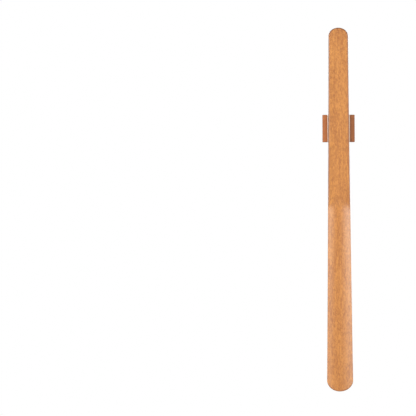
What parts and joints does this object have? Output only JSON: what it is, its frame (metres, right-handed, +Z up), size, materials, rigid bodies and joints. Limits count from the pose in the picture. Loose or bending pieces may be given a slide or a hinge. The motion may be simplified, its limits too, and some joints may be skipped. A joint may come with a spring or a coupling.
{
  "type": "long shoehorn",
  "caption": "Long one-piece wooden shoehorn with a flat bar handle and a hollowed blade, held by magnets in a small wooden wall holder with a felt-covered steel liner.",
  "frame": {"origin": "centre of the holder's flat wall face", "axes": "+Z up, towards the handle's rounded end; the hollow of the blade faces -Y; +Y points into the wall"},
  "size_m": [0.053, 0.0546, 0.6],
  "materials": {
    "light_wood": "oiled satin, light orange-brown",
    "dark_wood": "oiled satin, reddish brown",
    "dowel_wood": "raw beech",
    "liner_steel": "white powder coat",
    "liner_felt": "thin cream felt",
    "magnet_nickel": "nickel plated",
    "screw_zinc": "bright zinc plated",
    "plug_nylon": "moulded grey-white nylon"
  },
  "bodies": {
    "holder": {"holder_block": "dark_wood", "left_cheek": "dark_wood", "right_cheek": "dark_wood", "steel_liner": "liner_steel", "felt_lining": "liner_felt", "left_upper_dowel": "dowel_wood", "left_lower_dowel": "dowel_wood", "right_upper_dowel": "dowel_wood", "right_lower_dowel": "dowel_wood", "upper_screw": "screw_zinc", "lower_screw": "screw_zinc", "upper_wall_plug": "plug_nylon", "lower_wall_plug": "plug_nylon"},
    "shoehorn": {"shoehorn": "light_wood", "upper_magnet": "magnet_nickel", "lower_magnet": "magnet_nickel"}
  },
  "joints": [
    {"name": "pull_off", "type": "slide", "parent": "holder", "child": "shoehorn", "axis": [0, -1, 0], "range_m": [0, 0.05]}
  ]
}
